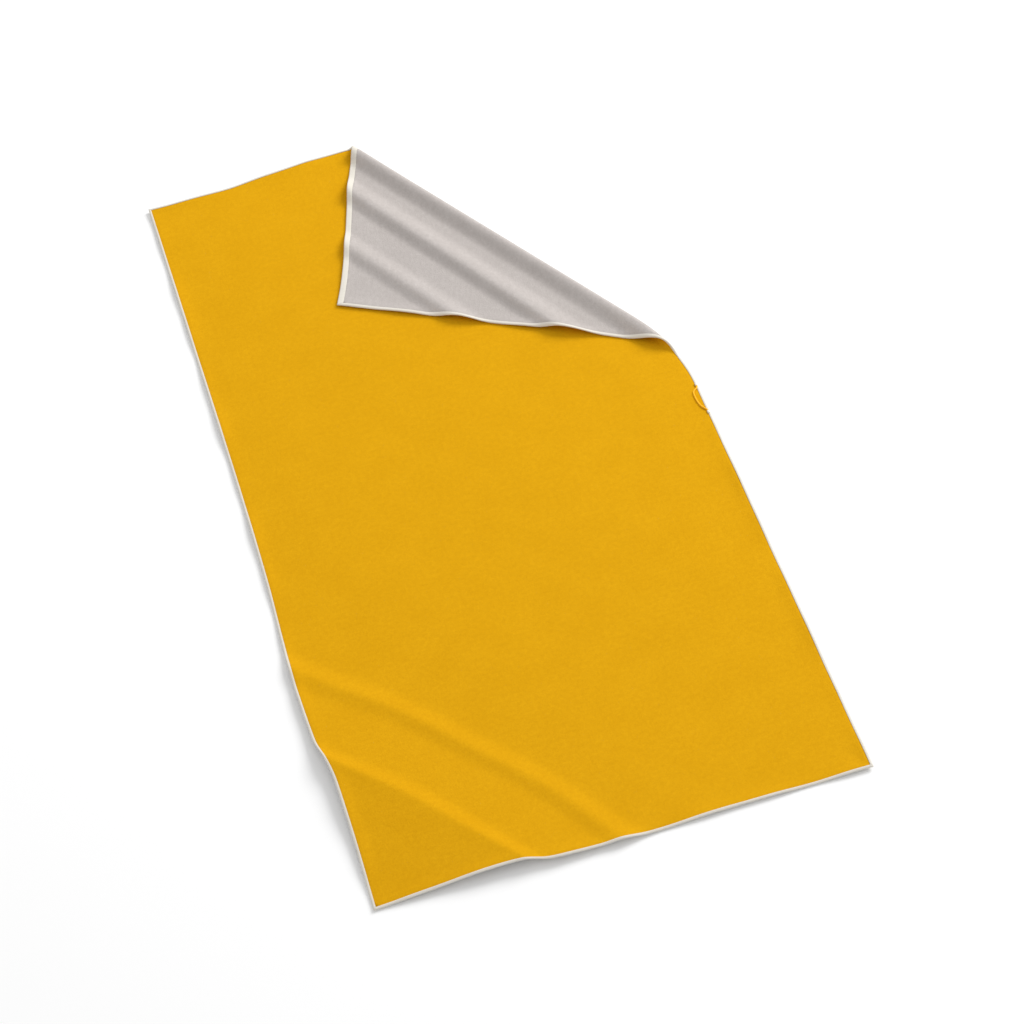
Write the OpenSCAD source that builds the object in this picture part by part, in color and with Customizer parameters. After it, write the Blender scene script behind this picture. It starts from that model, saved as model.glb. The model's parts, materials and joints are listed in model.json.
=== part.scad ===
// A two-sided towel with bound edges and a cord hanging loop.
// It lies face up with its underside on Z = 0, centred on the origin, with its length along Y.
// One corner is turned over, so the towel is in two moving parts that meet along the fold.

/* [Towel] */
// Width of the towel, laid flat
towel_w = 800; // [660:5:1000]
// Length of the towel, laid flat
towel_l = 1600; // [1320:10:2000]
// Thickness of the face cloth
face_t = 1.5; // [1:0.1:2]
// Thickness of the back cloth
back_t = 1.5; // [1:0.1:2]

/* [Edge tape] */
// Thickness of the tape
tape_t = 0.4; // [0.3:0.05:0.6]
// Width of the tape on the face
tape_face_w = 2.5; // [2:0.25:5]
// Width of the tape on the back, along the short edges
end_back_w = 10; // [6:0.5:16]
// Width of the tape on the back, along the long edges
side_back_w = 4; // [3:0.5:10]

/* [Seam thread] */
// Width of the line of stitches
thread_w = 0.6; // [0.4:0.1:0.8]
// Height of the stitches above the tape
thread_h = 0.4; // [0.2:0.05:0.6]
// Bare tape between the stitches and the tape's inner edge
thread_margin = 0.4; // [0.2:0.05:0.5]

/* [Turned corner] */
// Distance of the fold from the corner, along the top edge
fold_top = 405; // [340:5:500]
// Distance of the fold from the corner, along the right edge
fold_side = 680; // [530:5:780]
// Outer radius of the roll that the cloth makes at the fold
roll_r = 10; // [8:0.5:14]
// Width of cloth lost in the folds, as a share of the turned width
turned_take_up = 0.074; // [0:0.005:0.12]
// Slip of the cloth along the fold, as a share of the turned width
turned_slip = 0.1; // [0:0.005:0.15]
// Gap between the turned corner and the face below it
turned_gap = 0.4; // [0.3:0.1:2]
// Distance of the first crest from the fold
crest_1_at = 78; // [66:1:90]
// Height of the first crest
crest_1_h = 10; // [6:0.5:12]
// Distance of the second crest from the fold
crest_2_at = 180; // [150:1:195]
// Height of the second crest
crest_2_h = 8; // [4:0.5:12]

/* [Ridges] */
// Distance of the near ridge from the lower left corner
ridge_near_at = 187; // [172:1:190]
// Height of the near ridge
ridge_near_h = 13; // [6:0.5:16]
// Distance of the far ridge from the lower left corner
ridge_far_at = 318; // [318:1:340]
// Height of the far ridge
ridge_far_h = 7; // [4:0.5:12]
// Run of a ridge across the towel for each unit of its run along it
ridge_skew = 0.875; // [0.7:0.025:1.1]
// Width of cloth taken up by both ridges together
ridge_take_up = 5; // [0:0.5:20]

/* [Hanging loop] */
// Diameter of the cord
loop_d = 3; // [2:0.1:4]
// Place of the loop's middle along the right edge
loop_y = 15; // [-100:1:60]
// Distance between the two bar tacks
loop_span = 62; // [62:1:80]
// Length of each bar tack
tack_l = 5; // [3:0.5:8]
// Wall of stitches round the cord in a bar tack
tack_wall = 0.2; // [0.1:0.05:0.5]
// Distance of the bar tacks from the towel's edge
tack_inset = 0.2; // [0:0.1:0.6]
// Clearance between the cord and what it lies on or turns against
loop_gap = 0.3; // [0.2:0.05:0.6]

/* [Hidden] */

yellow = "#e7aa14";
grey = "#c7c0ba";
off_white = "#eeebe2";
thread_white = "#f4f2ec";

// The whole thickness, and the levels of the tape's inner faces in it
towel_t = face_t + back_t;
under_tape = tape_t;
over_tape = towel_t - tape_t;
// The stitches stand just clear of the tape, so a twisted stretch of tape can't cut them
thread_lift = 0.03;
thread_top = towel_t + thread_lift + thread_h;
thread_outer = tape_face_w - thread_margin - thread_w;
thread_inner = tape_face_w - thread_margin;

// Corners of the flat towel
lower_left = [-towel_w / 2, -towel_l / 2];
lower_right = [towel_w / 2, -towel_l / 2];
upper_left = [-towel_w / 2, towel_l / 2];
upper_right = [towel_w / 2, towel_l / 2];
// Inward directions of the four edges
from_left = [1, 0];
from_right = [-1, 0];
from_bottom = [0, 1];
from_top = [0, -1];

// The fold runs from fold_a on the top edge to fold_b on the right edge
fold_len = norm([fold_top, fold_side]);
fold_along = [fold_top, -fold_side] / fold_len;
fold_across = [fold_side, fold_top] / fold_len;
fold_a = upper_right - [fold_top, 0];
fold_b = upper_right - [0, fold_side];
roll_step = 15;
// Length of cloth in the half turn of the roll
roll_arc = PI * roll_r;
turned_scale = 1 - turned_take_up;
// Height of the turned cloth's upper side where it lies on the face
turned_rest = towel_t + turned_gap + thread_top;
// Width from the fold to the tip of the turned corner, and the tip's place along the fold
tip_across = ((upper_right - fold_a) * fold_across - roll_arc) * turned_scale;
tip_along = (upper_right - fold_a) * fold_along + turned_slip * tip_across / turned_scale;
// Half widths of the crests, from each foot to the crest
roll_fall = 40;
crest_1_rise = 40;
crest_1_fall = 32;
crest_2_rise = 40;
crest_2_fall = 32;
// Spread of each crest away from the fold, for each unit of length along it
crest_1_fan = 0.02;
crest_2_fan = 0.01;
tip_fan = 0.005;
// Cloth left flat at the two corners where the ridges and crests run out
corner_flat = 20;

// Unit vectors along the ridges and across them, away from the lower left corner
ridge_along = [ridge_skew, -1] / norm([ridge_skew, -1]);
ridge_across = [1, ridge_skew] / norm([ridge_skew, -1]);
// Half widths of the ridges, on the corner side and on the far side
ridge_near_fall = 150;
ridge_near_rise = 90;
ridge_far_fall = 38;
ridge_far_rise = 40;

// Smooth bump, 1 at x = 0 and flat at both feet, with its own half width on each side
function bump(x, below, above) =
    let (r = x < 0 ? -x / below : x / above) r < 1 ? pow(1 - r * r, 3) : 0;
// Smooth step from 1 below the range to 0 above it
function ease_down(x, low, high) =
    let (r = min(1, max(0, (x - low) / (high - low)))) 1 - r * r * (3 - 2 * r);

// How a row of cloth lies: flat on the ground, round the roll, or turned over
LYING = 0;
ROLLED = 1;
TURNED = 2;

// A row is a straight line across the flat towel that keeps one height when the towel lies.
// It holds its start and end, the step inwards at each, how it lies as [mode, height or angle, pull],
// and at each end the way to the tape's inner edge on the back.
function row(p0, p1, in0, in1, lie) =
    let (dir = p1 - p0, step0 = dir / (dir * in0), step1 = dir / (dir * in1))
    [p0, p1, step0, step1, lie, step0 * back_w(in0), step1 * back_w(in1)];
function corner_row(p0, p1, step0, step1, lie) =
    [p0, p1, step0, step1, lie, corner_back(step0), corner_back(step1)];
// Width of the tape on the back of the edge that this direction leads in from
function back_w(inwards) = inwards[1] == 0 ? side_back_w : end_back_w;
function corner_back(step) = [step[0] * side_back_w, step[1] * end_back_w];

// Height of the lying cloth, and how far it is pulled in, at a distance from the lower left corner
function ridge_z(x) =
    ridge_near_h * bump(x - ridge_near_at, ridge_near_fall, ridge_near_rise)
    + ridge_far_h * bump(x - ridge_far_at, ridge_far_fall, ridge_far_rise);
function ridge_pull(x) =
    ridge_take_up * (0.7 * ease_down(x, ridge_near_at - ridge_near_fall, ridge_near_at + ridge_near_rise)
    + 0.3 * ease_down(x, ridge_far_at - ridge_far_fall, ridge_far_at + ridge_far_rise));

// Height of the turned cloth's upper side, at a distance from the fold measured at its top end
function turned_z(x) =
    turned_rest + (2 * roll_r - turned_rest) * bump(x, roll_fall, roll_fall)
    + crest_1_h * bump(x - crest_1_at, crest_1_rise, crest_1_fall)
    + crest_2_h * bump(x - crest_2_at, crest_2_rise, crest_2_fall);
function turned_fan(x) =
    lookup(x, [[0, 0], [crest_1_at, crest_1_fan], [crest_2_at, crest_2_fan], [tip_across, tip_fan]]);

// A point of the flat towel, at a level in its thickness, as it lies
function place(p, level, lie) =
    lie[0] == LYING ? lying(p + ridge_across * lie[2], lie[1] + level)
    : let (along = (p - fold_a) * fold_along, across = (p - fold_a) * fold_across)
      lie[0] == ROLLED ? rolled(along, lie[1], roll_r - level)
      : turned(along, across - roll_arc, lie[1] - level);
function lying(p, z) = [p[0], p[1], z];
function rolled(along, angle, r) =
    lying(fold_a + fold_along * along + fold_across * r * sin(angle), roll_r - r * cos(angle));
function turned(along, width, z) =
    lying(fold_a + fold_along * (along + turned_slip * width) - fold_across * width * turned_scale, z);

// Rows from the lower left corner to the crest of the roll
function even(from, to, count) = [for (k = [1:count]) from + (to - from) * k / count];
ridge_stations = concat(
    [corner_flat, ridge_near_at - ridge_near_fall],
    even(ridge_near_at - ridge_near_fall, ridge_near_at, 9),
    even(ridge_near_at, ridge_near_at + ridge_near_rise, 7),
    even(ridge_far_at - ridge_far_fall, ridge_far_at, 6),
    even(ridge_far_at, ridge_far_at + ridge_far_rise, 6));
function ridge_row(x) =
    row(lower_left + [0, x / ridge_along[0]], lower_left + [-x / ridge_along[1], 0],
        from_left, from_bottom, [LYING, ridge_z(x), ridge_pull(x)]);
function roll_row(angle) =
    let (across = roll_r * angle * PI / 180)
    row(fold_a + [across / fold_across[0], 0], fold_b + [0, across / fold_across[1]],
        from_top, from_right, angle == 0 ? [LYING, 0, 0] : [ROLLED, angle, 0]);
lower_rows = concat(
    [corner_row(lower_left, lower_left, [1, 1], [1, 1], [LYING, 0, ridge_pull(0)])],
    [for (x = ridge_stations) ridge_row(x)],
    [corner_row(upper_left, lower_right, [1, -1], [-1, 1], [LYING, 0, 0])]);
upper_rows = concat(
    [corner_row(upper_left, lower_right, [1, -1], [-1, 1], [LYING, 0, 0])],
    [for (angle = [0:roll_step:90]) roll_row(angle)]);
main_rows = concat(lower_rows, [for (k = [1:len(upper_rows) - 1]) upper_rows[k]]);

// Rows from the crest of the roll to the tip of the turned corner
tip_x = tip_across - tip_fan * tip_along - corner_flat;
turned_stations = concat(
    even(0, crest_1_at, 8), even(crest_1_at, crest_2_at, 12),
    even(crest_2_at, crest_2_at + crest_2_fall, 5), [tip_x]);
// Where the row at distance x meets the top edge or the right edge, as a width along that edge
function turned_end(x, start, slope) =
    let (fan = turned_fan(x) / turned_scale, lean = turned_slip + slope,
         along = (start + slope * roll_arc + lean * x / turned_scale) / (1 - lean * fan),
         width = x / turned_scale + fan * along)
    fold_a + fold_along * (along - turned_slip * width) + fold_across * (roll_arc + width);
function turned_row(x) =
    row(turned_end(x, 0, fold_top / fold_side), turned_end(x, fold_len, -fold_side / fold_top),
        from_top, from_right, [TURNED, turned_z(x), 0]);
corner_rows = concat(
    [for (angle = [90:roll_step:180]) roll_row(angle)],
    [for (x = turned_stations) turned_row(x)],
    [corner_row(upper_right, upper_right, [-1, -1], [-1, -1], [TURNED, turned_rest, 0])]);

// A profile is a loop of [end of the row, distance inwards, level in the thickness], with the convex
// faces that close its end. BACK stands for the distance to the tape's inner edge on the back.
START = 0;
END = 1;
BACK = 500;
back_profile = [[
    [START, tape_t, under_tape], [START, BACK, under_tape], [START, BACK, 0],
    [END, BACK, 0], [END, BACK, under_tape], [END, tape_t, under_tape],
    [END, tape_t, back_t], [START, tape_t, back_t]],
    [[1, 2, 3, 4], [0, 1, 7], [1, 4, 6, 7], [4, 5, 6]]];
face_profile = [[
    [START, tape_t, back_t], [END, tape_t, back_t], [END, tape_t, over_tape],
    [END, tape_face_w, over_tape], [END, tape_face_w, towel_t], [START, tape_face_w, towel_t],
    [START, tape_face_w, over_tape], [START, tape_t, over_tape]],
    [[3, 4, 5, 6], [1, 2, 3], [0, 1, 3, 6], [0, 6, 7]]];
function tape_profile(side) = turn_for(side, [[
    [side, 0, 0], [side, BACK, 0], [side, BACK, under_tape], [side, tape_t, under_tape],
    [side, tape_t, over_tape], [side, tape_face_w, over_tape], [side, tape_face_w, towel_t],
    [side, 0, towel_t]],
    [[0, 1, 2, 3], [0, 3, 4, 7], [4, 5, 6, 7]]]);
function thread_profile(side) = turn_for(side, [[
    [side, thread_outer, towel_t + thread_lift], [side, thread_inner, towel_t + thread_lift],
    [side, thread_inner, thread_top], [side, thread_outer, thread_top]],
    [[0, 1, 2, 3]]]);
// Profiles run the same way round seen from the lower left corner, so the far side's is reversed
function reversed(list) = [for (k = [len(list) - 1:-1:0]) list[k]];
function turn_for(side, profile) =
    let (last = len(profile[0]) - 1)
    side == START ? profile
    : [reversed(profile[0]), [for (f = profile[1]) [for (k = reversed(f)) last - k]]];

function section(row, loop) =
    [for (q = loop) place(row[q[0]] + (q[1] == BACK ? row[5 + q[0]] : row[2 + q[0]] * q[1]), q[2], row[4])];
// Whether a piece folds shut at this row: a row that is only a corner, and a loop with both its ends
function closes(row, loop) =
    row[0] == row[1] && len([for (q = loop) if (q[0] != loop[0][0]) q]) > 0;
// Places on one row come in this order, so that all pieces split their faces the same way
function order(q) = (q[0] == START ? q[1] : towel_w + towel_l - q[1]) + q[2];
// Whether a face has three different corners
function joins(points, face) =
    points[face[0]] != points[face[1]] && points[face[1]] != points[face[2]]
    && points[face[2]] != points[face[0]];

// Cloth, tape or thread of one profile, swept over the rows
module swept(rows, profile) {
    loop = profile[0];
    m = len(loop);
    n = len(rows);
    points = [for (r = rows) each section(r, loop)];
    sides = [
        for (i = [0:n - 2]) for (j = [0:m - 1])
            let (k = (j + 1) % m, a = i * m + j, b = i * m + k, c = a + m, d = b + m)
            each (order(loop[j]) <= order(loop[k])
                ? [[a, d, b], [a, c, d]] : [[a, c, b], [b, c, d]])];
    first = closes(rows[0], loop) ? [] : profile[1];
    last = closes(rows[n - 1], loop) ? []
        : [for (f = profile[1]) [for (k = reversed(f)) (n - 1) * m + k]];
    polyhedron(points, concat([for (f = sides) if (joins(points, f)) f], first, last));
}

module face_cloth() { color(yellow) swept(main_rows, face_profile); }
module back_cloth() { color(grey) swept(main_rows, back_profile); }
module corner_face_cloth() { color(yellow) swept(corner_rows, face_profile); }
module corner_back_cloth() { color(grey) swept(corner_rows, back_profile); }

module tape(rows, side) { color(off_white) swept(rows, tape_profile(side)); }
module left_tape() { tape(lower_rows, START); }
module bottom_tape() { tape(lower_rows, END); }
module top_tape() { tape(upper_rows, START); }
module right_tape() { tape(upper_rows, END); }
module corner_top_tape() { tape(corner_rows, START); }
module corner_right_tape() { tape(corner_rows, END); }

module seam_thread(rows, side) { color(thread_white) swept(rows, thread_profile(side)); }
module left_seam_thread() { seam_thread(lower_rows, START); }
module bottom_seam_thread() { seam_thread(lower_rows, END); }
module top_seam_thread() { seam_thread(upper_rows, START); }
module right_seam_thread() { seam_thread(upper_rows, END); }
module corner_top_seam_thread() { seam_thread(corner_rows, START); }
module corner_right_seam_thread() { seam_thread(corner_rows, END); }

// The loop's middle line, from the upper bar tack to the lower one: inwards from the line through
// the tacks, along the edge from the loop's middle, and down from the tacks' height
loop_route = [
    [0, 30.5, 0], [0, 29, 0], [0.6, 26.8, 0], [2.2, 24.6, 0], [4.6, 22.8, 0], [7, 21, -0.1],
    [9, 18.6, -0.2], [10, 15.4, -0.3], [10.4, 11, -0.3], [10.4, 6, -0.3], [10.2, 1, -0.3],
    [9.8, -4, -0.3], [9, -9, -0.3], [7.8, -14, -0.2], [6, -18.6, -0.1], [3.6, -22.6, 0],
    [1.4, -25.6, 0], [0.2, -28.4, 0], [0, -30.5, 0]];
loop_sides = 8;
loop_x = towel_w / 2 - tack_inset - loop_d / 2 - tack_wall;
loop_z = thread_top + loop_gap + loop_d / 2;
tack_r = loop_d / 2 + tack_wall;
// The foot of a bar tack covers the tape from near the towel's edge to near the seam thread
tack_foot = thread_outer - loop_gap;

// Rings across the route, each square to the way the cord runs there
function heading(k) =
    let (a = loop_route[max(0, k - 1)], b = loop_route[min(len(loop_route) - 1, k + 1)])
    (b - a) / norm([(b - a)[0], (b - a)[1]]);
module loop_cord() {
    rings = len(loop_route);
    points = [
        for (k = [0:rings - 1]) for (j = [0:loop_sides - 1])
            let (side = [-heading(k)[1], heading(k)[0]], angle = 360 * (j + 0.5) / loop_sides,
                 p = loop_route[k], r = loop_d / 2)
            [loop_x - p[0] - side[0] * r * cos(angle), loop_y + p[1] + side[1] * r * cos(angle),
             loop_z + p[2] + r * sin(angle)]];
    walls = [
        for (k = [0:rings - 2]) for (j = [0:loop_sides - 1])
            let (a = k * loop_sides + j, b = k * loop_sides + (j + 1) % loop_sides)
            [a, a + loop_sides, b + loop_sides, b]];
    ends = [[for (j = [0:loop_sides - 1]) j],
            [for (j = [loop_sides - 1:-1:0]) (rings - 1) * loop_sides + j]];
    color(yellow) polyhedron(points, concat(walls, ends));
}

// Stitches wound over one end of the cord and down to the tape
module bar_tack(y) {
    color(yellow)
        translate([towel_w / 2, y + tack_l / 2, 0]) rotate([90, 0, 0])
            linear_extrude(tack_l) {
                translate([loop_x - towel_w / 2, loop_z]) circle(tack_r, $fn = 48);
                translate([-tack_foot, towel_t]) square([tack_foot - tack_inset, loop_z - towel_t]);
            }
}
module upper_bar_tack() { bar_tack(loop_y + (loop_span + tack_l) / 2); }
module lower_bar_tack() { bar_tack(loop_y - (loop_span + tack_l) / 2); }

face_cloth();
back_cloth();
left_tape();
bottom_tape();
right_tape();
top_tape();
left_seam_thread();
bottom_seam_thread();
right_seam_thread();
top_seam_thread();
corner_face_cloth();
corner_back_cloth();
corner_top_tape();
corner_right_tape();
corner_top_seam_thread();
corner_right_seam_thread();
loop_cord();
upper_bar_tack();
lower_bar_tack();
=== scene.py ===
"""A two-sided towel with bound edges, one corner turned over and a cord hanging loop.

The towel lies face up on a pale floor. Its cloths, tapes, stitches and cord are built flat, in the
towel's own cut, and a Drape then lays them: over two low ridges, round the roll at the fold and
back over the face. Sizes inside the classes are in millimetres, and meshes are in metres.
"""
import json
import logging
import math
from dataclasses import dataclass
from enum import Enum
from typing import Any

import bpy
import numpy as np
from mathutils import Matrix, Vector


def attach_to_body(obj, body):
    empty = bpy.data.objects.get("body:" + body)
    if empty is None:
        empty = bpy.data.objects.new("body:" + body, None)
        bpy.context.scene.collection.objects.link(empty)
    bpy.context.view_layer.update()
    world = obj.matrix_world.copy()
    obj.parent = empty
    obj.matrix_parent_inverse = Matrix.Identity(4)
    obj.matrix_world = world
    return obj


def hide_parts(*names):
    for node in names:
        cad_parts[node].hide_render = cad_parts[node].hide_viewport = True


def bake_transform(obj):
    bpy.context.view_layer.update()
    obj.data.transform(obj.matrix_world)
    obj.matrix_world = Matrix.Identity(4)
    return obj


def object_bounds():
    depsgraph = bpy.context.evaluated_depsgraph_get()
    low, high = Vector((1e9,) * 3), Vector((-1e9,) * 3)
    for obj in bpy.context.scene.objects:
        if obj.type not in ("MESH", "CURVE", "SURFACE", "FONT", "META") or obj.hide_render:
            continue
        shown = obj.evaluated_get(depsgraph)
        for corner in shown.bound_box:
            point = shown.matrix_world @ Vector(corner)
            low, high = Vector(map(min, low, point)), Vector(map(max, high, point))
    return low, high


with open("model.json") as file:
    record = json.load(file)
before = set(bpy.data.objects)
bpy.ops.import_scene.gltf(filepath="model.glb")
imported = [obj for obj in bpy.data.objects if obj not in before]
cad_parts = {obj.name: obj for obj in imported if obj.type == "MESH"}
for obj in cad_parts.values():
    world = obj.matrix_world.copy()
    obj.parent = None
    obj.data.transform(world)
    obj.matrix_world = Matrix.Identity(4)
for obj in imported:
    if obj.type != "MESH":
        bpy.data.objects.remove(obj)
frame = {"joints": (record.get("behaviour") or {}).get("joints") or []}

CAD_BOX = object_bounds()
MM = 0.001
# Bands that a wave texture draws in each unit at a scale of 1
BANDS = 20 / (2 * math.pi)
LOG = logging.getLogger("towel")
Array = np.ndarray
Piece = bpy.types.Object
Material = bpy.types.Material
Node = bpy.types.Node
NodeTree = bpy.types.NodeTree


# ---- Small helpers ----

def smooth_step(x: Array, low: float, high: float) -> Array:
    """Rise smoothly from 0 at low to 1 at high.

    Args:
        x: Values to ease.
        low: Where the rise starts.
        high: Where the rise ends.

    Returns:
        The eased values, from 0 to 1.
    """
    r = np.clip((np.asarray(x, float) - low) / (high - low), 0, 1)
    return r * r * (3 - 2 * r)


def bump(x: Array, below: float, above: float) -> Array:
    """Make a smooth hill that is 1 at x = 0 and flat at both feet.

    Args:
        x: Distance from the hill's top.
        below: Half width on the negative side.
        above: Half width on the positive side.

    Returns:
        The hill's height at each x, from 0 to 1.
    """
    r = np.where(x < 0, -x / below, x / above)
    return np.clip(1 - r * r, 0, None) ** 3


def linear(code: str) -> tuple[float, float, float, float]:
    """Turn an sRGB hex value into a linear colour.

    Args:
        code: The colour as "#rrggbb".

    Returns:
        Linear red, green, blue and an alpha of 1.
    """
    parts = [int(code[k:k + 2], 16) / 255 for k in (1, 3, 5)]
    red, green, blue = (c / 12.92 if c <= 0.04045 else ((c + 0.055) / 1.055) ** 2.4 for c in parts)
    return (red, green, blue, 1.0)


def per_metre(size_mm: float) -> float:
    """Give a texture's scale for features of this size, on coordinates in metres."""
    return 1 / (size_mm * MM)


def bell(x: Array, width: float) -> Array:
    """Make a soft hill that is 1 at x = 0 and fades out at about twice its width."""
    return np.exp(-(x / width) ** 2)


def softened(stops: tuple[tuple[float, float], ...], reach: float, sigma: float) -> tuple[Array, Array]:
    """Round off a line through stops, at steps of 1 mm.

    Args:
        stops: Pairs of distance and value.
        reach: Distance at which the line ends.
        sigma: Spread of the rounding.

    Returns:
        Distances and the rounded values there.
    """
    grid = np.arange(-60.0, reach)
    kernel = np.exp(-0.5 * (np.arange(-30, 31) / sigma) ** 2)
    return grid, np.convolve(np.interp(grid, *zip(*stops)), kernel / kernel.sum(), mode="same")


def put_in_scene(name: str, data: Any) -> Piece:
    """Make an object and put it in the scene.

    Args:
        name: The object's name.
        data: Its mesh, camera or light.

    Returns:
        The object.
    """
    made = bpy.data.objects.new(name, data)
    bpy.context.scene.collection.objects.link(made)
    return made


def unit(rows: Array) -> Array:
    """Scale each row to a length of 1."""
    return rows / np.linalg.norm(rows, axis=1)[:, None]


def skin(number: Array) -> list[list[int]]:
    """Make the faces of a closed tube, its two ends included.

    Args:
        number: Point numbers, as rings along the tube by points round each ring.

    Returns:
        The point numbers of each face.
    """
    onward = np.roll(number, -1, 1)
    sides = np.stack([number[:-1], onward[:-1], onward[1:], number[1:]], -1).reshape(-1, 4)
    return sides.tolist() + [number[0, ::-1].tolist(), number[-1].tolist()]


def add_node(tree: NodeTree, kind: str, settings: dict[str, Any] | None = None,
             inputs: dict[Any, Any] | None = None, links: dict[Any, Any] | None = None) -> Node:
    """Add a node with its settings and links.

    Args:
        tree: The tree that the node goes into.
        kind: The node's type name.
        settings: Values of the node's own properties.
        inputs: Values of its input sockets, by name or number.
        links: Output sockets that feed its input sockets, by name or number.

    Returns:
        The new node.
    """
    node = tree.nodes.new(kind)
    for name, value in (settings or {}).items():
        setattr(node, name, value)
    for key, value in (inputs or {}).items():
        node.inputs[key].default_value = value
    for key, source in (links or {}).items():
        tree.links.new(source, node.inputs[key])
    return node


# ---- How the towel lies ----

class Edge(Enum):
    """The four edges of the towel, and whether each runs on round the fold."""

    LEFT = "left"
    BOTTOM = "bottom"
    RIGHT = "right"
    TOP = "top"

    @property
    def is_side(self) -> bool:
        """Whether this is one of the two long edges."""
        return self in (Edge.LEFT, Edge.RIGHT)

    @property
    def is_turned(self) -> bool:
        """Whether this edge runs on round the fold to the turned corner."""
        return self in (Edge.RIGHT, Edge.TOP)


@dataclass(frozen=True)
class Cut:
    """The towel's flat cut and the widths of its tape."""

    width: float
    length: float
    thickness: float = 3.0
    middle: float = 1.5
    tape: float = 0.4
    face_w: float = 2.5
    side_back_w: float = 4.0
    end_back_w: float = 10.0

    def back_w(self, edge: Edge) -> float:
        """Width of the tape on the back of an edge."""
        return self.side_back_w if edge.is_side else self.end_back_w

    def to_outline(self, flat: Array) -> Array:
        """Distance of flat points from the nearest edge of the towel."""
        return np.minimum(self.width / 2 - np.abs(flat[..., 0]), self.length / 2 - np.abs(flat[..., 1]))


@dataclass(frozen=True)
class Drape:
    """Lays points of the flat towel: over the ridges, round the roll and back over the face."""

    cut: Cut
    fold_start: Array
    along: Array
    across: Array
    roll_r: float
    # Share of the turned corner's width that its crests take up, and its slide along the fold
    take_up: float = 0.074
    slip: float = 0.1
    # Height of the turned cloth's upper side where it rests on the towel
    rest: float = 6.83
    # Each crest's distance from the fold, height and half widths on the two sides
    crests: tuple[tuple[float, float, float, float], ...] = ((78, 11, 38, 30), (180, 9, 38, 30))
    fans: tuple[float, float, float] = (0.02, 0.01, 0.005)
    roll_fall: float = 31
    # Heights across the two ridges, at distances from the lower left corner
    ridge_stops: tuple[tuple[float, float], ...] = (
        (0, 0), (25, 0.6), (187, 16), (214, 8.2), (294, 3.2), (316, 6.4), (343, 0.2), (356, 0))
    ridges_at: tuple[float, float] = (187, 318)
    ridge_round: float = 4.2
    # Each ridge's bow: its rise, its drop a half width from its top, the top's place, that half width
    bows: tuple[tuple[float, float, float, float], ...] = ((8, 14, -100, 240), (14, 28, -150, 425))
    waver: float = 1.5
    # Shifts of the cloth across the ridges, at distances from the lower left corner
    shift_stops: tuple[tuple[float, float], ...] = (
        (0, 2), (90, 7), (165, 9), (195, 2), (215, -6), (300, -7), (430, 0))
    shift_round: float = 9
    inner_shift: float = 0.25
    ridge_skew: float = 0.875
    # Slides over the floor: the fold's upper end along the fold, and the right and left edges inwards
    fold_end_slide: float = 31
    slide_depth: float = 150
    slide_spread: float = 170
    foot_tuck: float = 9
    left_bow: float = 7
    fold_end_rise: float = 1.5
    swell: float = 0.6
    edge_lift: float = 3.6

    @property
    def roll_arc(self) -> float:
        """Length of cloth in the roll's half turn."""
        return math.pi * self.roll_r

    @property
    def ridge_across(self) -> Array:
        """Unit vector across the ridges, away from the lower left corner."""
        return np.array([1, self.ridge_skew]) / math.hypot(1, self.ridge_skew)

    @property
    def lower_left(self) -> Array:
        """The lower left corner of the flat towel."""
        return np.array([-self.cut.width / 2, -self.cut.length / 2])

    @property
    def tip_across(self) -> float:
        """Width of the turned corner, from the roll to its tip."""
        tip = (-self.lower_left - self.fold_start) @ self.across - self.roll_arc
        return tip * (1 - self.take_up)

    def past_fold(self, flat: Array) -> Array:
        """Distance of flat points past the fold, along the cloth."""
        return (flat - self.fold_start) @ self.across

    def fan(self, x: Array) -> Array:
        """Spread of the crests away from the fold, at each distance from it."""
        stops = [0, self.crests[0][0], self.crests[1][0], self.tip_across]
        return np.interp(x, stops, [0, *self.fans])

    def station(self, flat: Array) -> Array:
        """Distance from the fold at which a turned point's row starts, at the top end of the fold.

        Args:
            flat: Points of the flat towel that lie past the roll.

        Returns:
            The distance x of each point's row, whose cloth keeps one height.
        """
        width = self.past_fold(flat) - self.roll_arc
        run = (flat - self.fold_start) @ self.along + self.slip * width
        reach = width * (1 - self.take_up)
        low, high = np.full(reach.shape, -60.0), np.full(reach.shape, self.tip_across + 60)
        for _ in range(40):
            x = (low + high) / 2
            short = x + self.fan(x) * run < reach
            low, high = np.where(short, x, low), np.where(short, high, x)
        return x

    def across_ridges(self, flat: Array) -> Array:
        """Measure across the ridges, which bow a little and waver.

        Args:
            flat: Points of the flat towel.

        Returns:
            Their distance from the lower left corner, as if the ridges were straight.
        """
        across = (flat - self.lower_left) @ self.ridge_across
        run = (flat - self.lower_left) @ np.array([self.ridge_across[1], -self.ridge_across[0]])
        near, far = (rise - drop * ((run - top) / half) ** 2 for rise, drop, top, half in self.bows)
        share = np.clip((across - self.ridges_at[0]) / (self.ridges_at[1] - self.ridges_at[0]), 0, 1)
        bow = near + (far - near) * share + self.waver * np.sin(run / 43 + across / 60)
        return across - bow * smooth_step(across, 20, 120)

    def ridge_height(self, flat: Array) -> Array:
        """Height of the cloth over the two ridges."""
        return np.interp(self.across_ridges(flat), *softened(self.ridge_stops, 460, self.ridge_round))

    def ridge_shift(self, flat: Array) -> Array:
        """Find how far the cloth has slid across the ridges, most of all at its two free edges.

        Args:
            flat: Points of the flat towel.

        Returns:
            Their shift away from the lower left corner.
        """
        across = (flat - self.lower_left) @ self.ridge_across
        from_edge = np.minimum(flat[..., 0] + self.cut.width / 2, flat[..., 1] + self.cut.length / 2)
        shift = np.interp(across, *softened(self.shift_stops, 520, self.shift_round))
        return shift * (self.inner_shift + (1 - self.inner_shift) * bell(from_edge, 90))

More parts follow.
